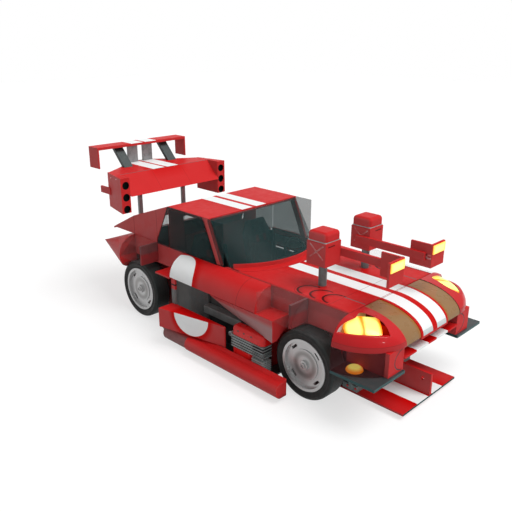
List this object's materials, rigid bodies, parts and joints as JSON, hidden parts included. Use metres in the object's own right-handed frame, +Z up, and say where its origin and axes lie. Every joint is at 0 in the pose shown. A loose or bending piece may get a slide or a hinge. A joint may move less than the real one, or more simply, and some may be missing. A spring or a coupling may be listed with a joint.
{
  "type": "gt race car",
  "caption": "Flat-sided GT race car with opening doors and bonnet, steered front wheels, lamp towers, side skirts and a two-tier rear wing.",
  "frame": {"origin": "on the ground, under the middle of the car", "axes": "+X forward along the car, +Y to the car's left, +Z up"},
  "size_m": [4.538, 2.2, 1.8879],
  "materials": {
    "red_paint": "gloss",
    "dark_panel": "satin",
    "smoked_glass": "tinted",
    "clear_glass": "tinted",
    "tyre_rubber": "slick",
    "alloy": "cast and turned",
    "steel": "satin",
    "grey_metal": "satin",
    "cast_block": "cast",
    "amber_lens": "moulded",
    "yellow_lens": "clear cover over a yellow bowl",
    "black_trim": "grained"
  },
  "bodies": {
    "chassis": {"suspension": "steel", "floor_pan": "dark_panel", "bulkheads": "red_paint", "front_sides": "red_paint", "rear_sides": "red_paint", "side_pods": "red_paint", "skirts": "red_paint", "intake_blocks": "red_paint", "side_exhausts": "grey_metal", "side_units": "grey_metal", "unit_covers": "red_paint", "arch_boxes": "clear_glass", "fender_covers": "clear_glass", "nose_covers": "clear_glass", "arch_plates": "dark_panel", "roof": "red_paint", "fixed_panes": "smoked_glass", "windscreen": "smoked_glass", "cowl": "red_paint", "nose_band": "red_paint", "lip_plate": "red_paint", "nose_lenses": "amber_lens", "nose_pods": "red_paint", "nose_boxes": "red_paint", "headlamps": "yellow_lens", "canards": "grey_metal", "splitter": "red_paint", "splitter_stays": "grey_metal", "tail_deck": "red_paint", "tail_lower": "red_paint", "wing_lower": "red_paint", "wing_end_boxes": "red_paint", "wing_posts": "grey_metal", "wing_struts": "dark_panel", "wing_upper": "red_paint", "seats": "black_trim", "dashboard": "black_trim", "drivetrain": "cast_block"},
    "wheel_fl": {"tyre_fl": "tyre_rubber", "rim_fl": "alloy"},
    "wheel_fr": {"tyre_fr": "tyre_rubber", "rim_fr": "alloy"},
    "wheel_rl": {"tyre_rl": "tyre_rubber", "rim_rl": "alloy"},
    "wheel_rr": {"tyre_rr": "tyre_rubber", "rim_rr": "alloy"},
    "knuckle_l": {"knuckle_left": "steel"},
    "knuckle_r": {"knuckle_right": "steel"},
    "door_l": {"door_left": "red_paint", "door_glass_left": "smoked_glass"},
    "door_r": {"door_right": "red_paint", "door_glass_right": "smoked_glass"},
    "bonnet": {"bonnet": "red_paint", "tower_posts": "grey_metal", "tower_heads": "red_paint", "lamp_booms": "red_paint", "lamp_lenses": "yellow_lens"}
  },
  "joints": [
    {"name": "steer_left", "type": "hinge", "parent": "chassis", "child": "knuckle_l", "pos_m": [1.386, 0.655, 0.34], "axis": [0, 0, 1], "range_deg": [-18, 18]},
    {"name": "steer_right", "type": "hinge", "parent": "chassis", "child": "knuckle_r", "pos_m": [1.386, -0.655, 0.34], "axis": [0, 0, 1], "range_deg": [-18, 18]},
    {"name": "wheel_fl_spin", "type": "hinge", "parent": "knuckle_l", "child": "wheel_fl", "pos_m": [1.386, 0.709, 0.34], "axis": [0, 1, 0], "continuous": true},
    {"name": "wheel_fr_spin", "type": "hinge", "parent": "knuckle_r", "child": "wheel_fr", "pos_m": [1.386, -0.709, 0.34], "axis": [0, 1, 0], "continuous": true},
    {"name": "wheel_rl_spin", "type": "hinge", "parent": "chassis", "child": "wheel_rl", "pos_m": [-1.178, 0.709, 0.34], "axis": [0, 1, 0], "continuous": true},
    {"name": "wheel_rr_spin", "type": "hinge", "parent": "chassis", "child": "wheel_rr", "pos_m": [-1.178, -0.709, 0.34], "axis": [0, 1, 0], "continuous": true},
    {"name": "door_left_hinge", "type": "hinge", "parent": "chassis", "child": "door_l", "pos_m": [0.836, 0.885, 0.75], "axis": [0, 0, -1], "range_deg": [0, 62]},
    {"name": "door_right_hinge", "type": "hinge", "parent": "chassis", "child": "door_r", "pos_m": [0.836, -0.885, 0.75], "axis": [0, 0, 1], "range_deg": [0, 62]},
    {"name": "bonnet_hinge", "type": "hinge", "parent": "chassis", "child": "bonnet", "pos_m": [0.3, 0, 0.915], "axis": [0, -1, 0], "range_deg": [0, 45]}
  ],
  "couplings": [
    {"joint": "steer_right", "follows": "steer_left", "ratio": 1}
  ]
}
